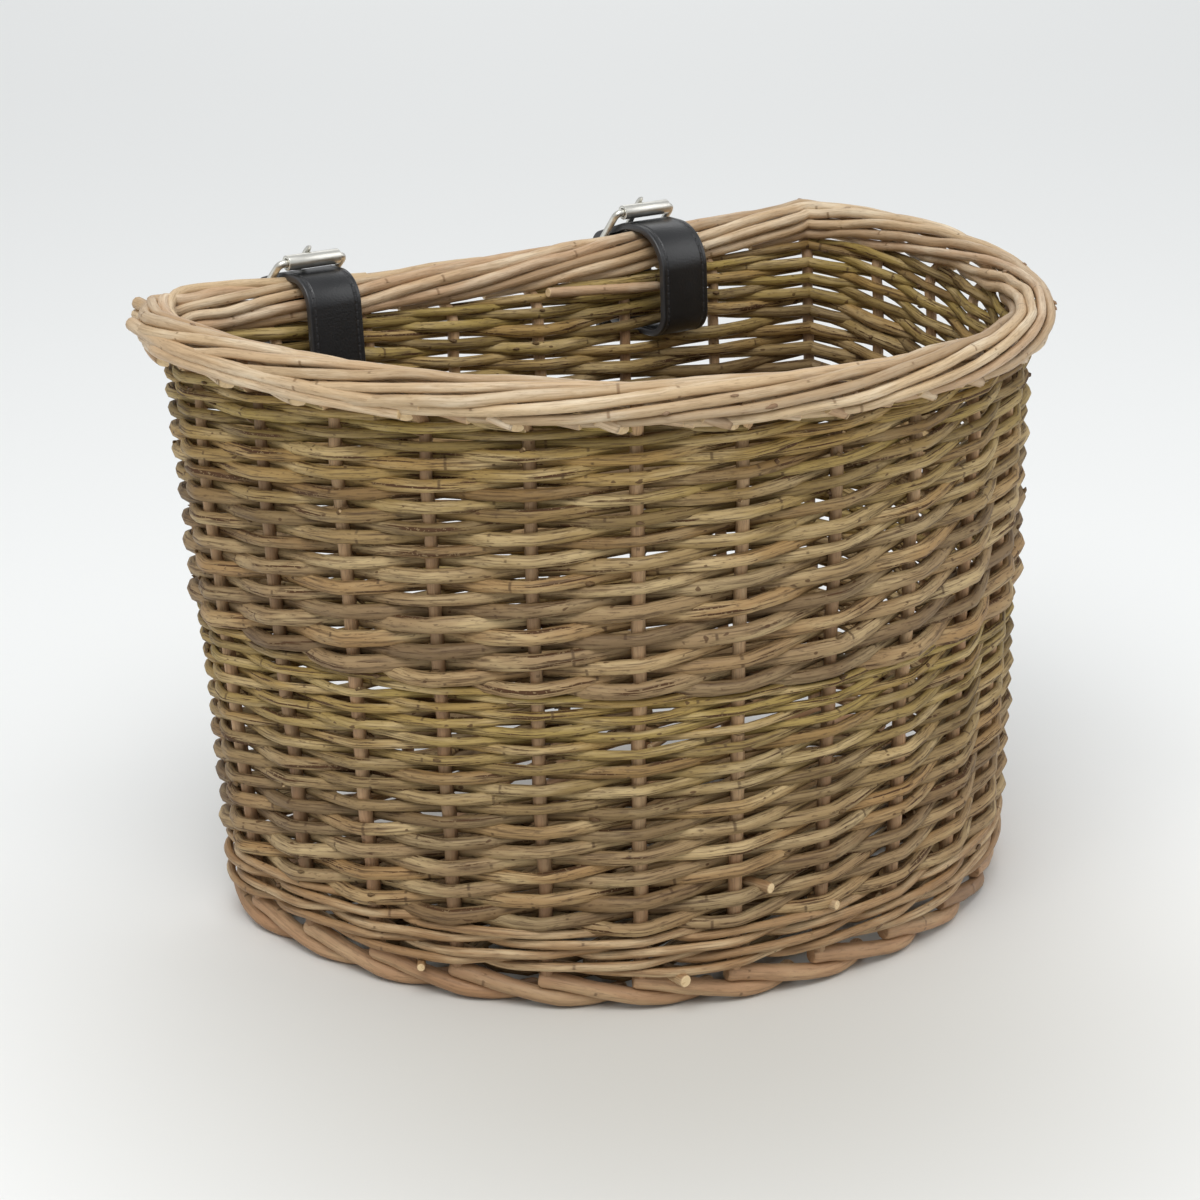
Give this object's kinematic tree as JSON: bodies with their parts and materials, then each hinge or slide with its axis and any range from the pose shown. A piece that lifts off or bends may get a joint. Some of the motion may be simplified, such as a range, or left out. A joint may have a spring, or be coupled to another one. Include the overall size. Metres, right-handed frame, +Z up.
{
  "type": "bicycle basket",
  "caption": "Woven willow handlebar basket with a rounded front, a flat back, a rope-like rim border, a kinked foot border and black buckled straps looped over the back rim.",
  "frame": {"origin": "on the floor, below the middle of the bounding box, straps and buckles included", "axes": "+Z up, +Y towards the flat back with the straps, -Y towards the rounded front, +X to the right seen from the front side looking at the back"},
  "size_m": [0.3882, 0.2812, 0.2638],
  "materials": {
    "willow_peeled": "peeled buff willow, satin",
    "willow_stake": "redder buff willow, satin",
    "willow_bark": "unpeeled olive and brown willow bark, matt",
    "willow_base": "unpeeled brown willow, matt",
    "strap_leather": "smooth black coated leather, semi-matt",
    "buckle_nickel": "bright nickel plate"
  },
  "bodies": {
    "basket": {"wale_rod_1": "willow_peeled", "wale_rod_2": "willow_peeled", "wale_rod_3": "willow_peeled", "weave_lower_1": "willow_bark", "weave_lower_2": "willow_bark", "weave_upper_1": "willow_bark", "weave_upper_2": "willow_bark", "rim_rod_1": "willow_peeled", "rim_rod_2": "willow_peeled", "rim_rod_3": "willow_peeled", "rim_rod_4": "willow_peeled", "rim_rod_5": "willow_peeled", "rim_rod_6": "willow_peeled", "stake_01": "willow_stake", "stake_02": "willow_stake", "stake_03": "willow_stake", "stake_04": "willow_stake", "stake_05": "willow_stake", "stake_06": "willow_stake", "stake_07": "willow_stake", "stake_08": "willow_stake", "stake_09": "willow_stake", "stake_10": "willow_stake", "stake_11": "willow_stake", "stake_12": "willow_stake", "stake_13": "willow_stake", "stake_14": "willow_stake", "stake_15": "willow_stake", "stake_16": "willow_stake", "stake_17": "willow_stake", "stake_18": "willow_stake", "stake_19": "willow_stake", "stake_20": "willow_stake", "stake_21": "willow_stake", "stake_22": "willow_stake", "stake_23": "willow_stake", "stake_24": "willow_stake", "base_stick_1": "willow_stake", "base_stick_2": "willow_stake", "base_stick_3": "willow_stake", "base_stick_4": "willow_stake", "base_weaver": "willow_base", "strap_left": "strap_leather", "strap_right": "strap_leather"},
    "buckle_left": {"buckle_frame_left": "buckle_nickel"},
    "roller_left": {"buckle_roller_left": "buckle_nickel"},
    "prong_left": {"buckle_prong_left": "buckle_nickel"},
    "keeper_left": {"strap_keeper_left": "strap_leather"},
    "buckle_right": {"buckle_frame_right": "buckle_nickel"},
    "roller_right": {"buckle_roller_right": "buckle_nickel"},
    "prong_right": {"buckle_prong_right": "buckle_nickel"},
    "keeper_right": {"strap_keeper_right": "strap_leather"}
  },
  "joints": [
    {"name": "buckle_swing_left", "type": "hinge", "parent": "basket", "child": "buckle_left", "pos_m": [-0.0985, 0.12932, 0.24088], "axis": [-1, 0, 0], "range_deg": [-2, 3]},
    {"name": "roller_spin_left", "type": "hinge", "parent": "buckle_left", "child": "roller_left", "pos_m": [-0.0985, 0.11235, 0.25785], "axis": [1, 0, 0], "continuous": true},
    {"name": "prong_lift_left", "type": "hinge", "parent": "buckle_left", "child": "prong_left", "pos_m": [-0.0985, 0.12932, 0.24088], "axis": [-1, 0, 0], "range_deg": [0, 8]},
    {"name": "keeper_slide_left", "type": "slide", "parent": "basket", "child": "keeper_left", "axis": [0, 0, 1], "range_m": [-0.003, 0.0015]},
    {"name": "buckle_swing_right", "type": "hinge", "parent": "basket", "child": "buckle_right", "pos_m": [0.0795, 0.13242, 0.23871], "axis": [-1, 0, 0], "range_deg": [-2, 3]},
    {"name": "roller_spin_right", "type": "hinge", "parent": "buckle_right", "child": "roller_right", "pos_m": [0.0795, 0.11764, 0.25762], "axis": [1, 0, 0], "continuous": true},
    {"name": "prong_lift_right", "type": "hinge", "parent": "buckle_right", "child": "prong_right", "pos_m": [0.0795, 0.13242, 0.23871], "axis": [-1, 0, 0], "range_deg": [0, 8]},
    {"name": "keeper_slide_right", "type": "slide", "parent": "basket", "child": "keeper_right", "axis": [0, 0, 1], "range_m": [-0.003, 0.0015]}
  ]
}
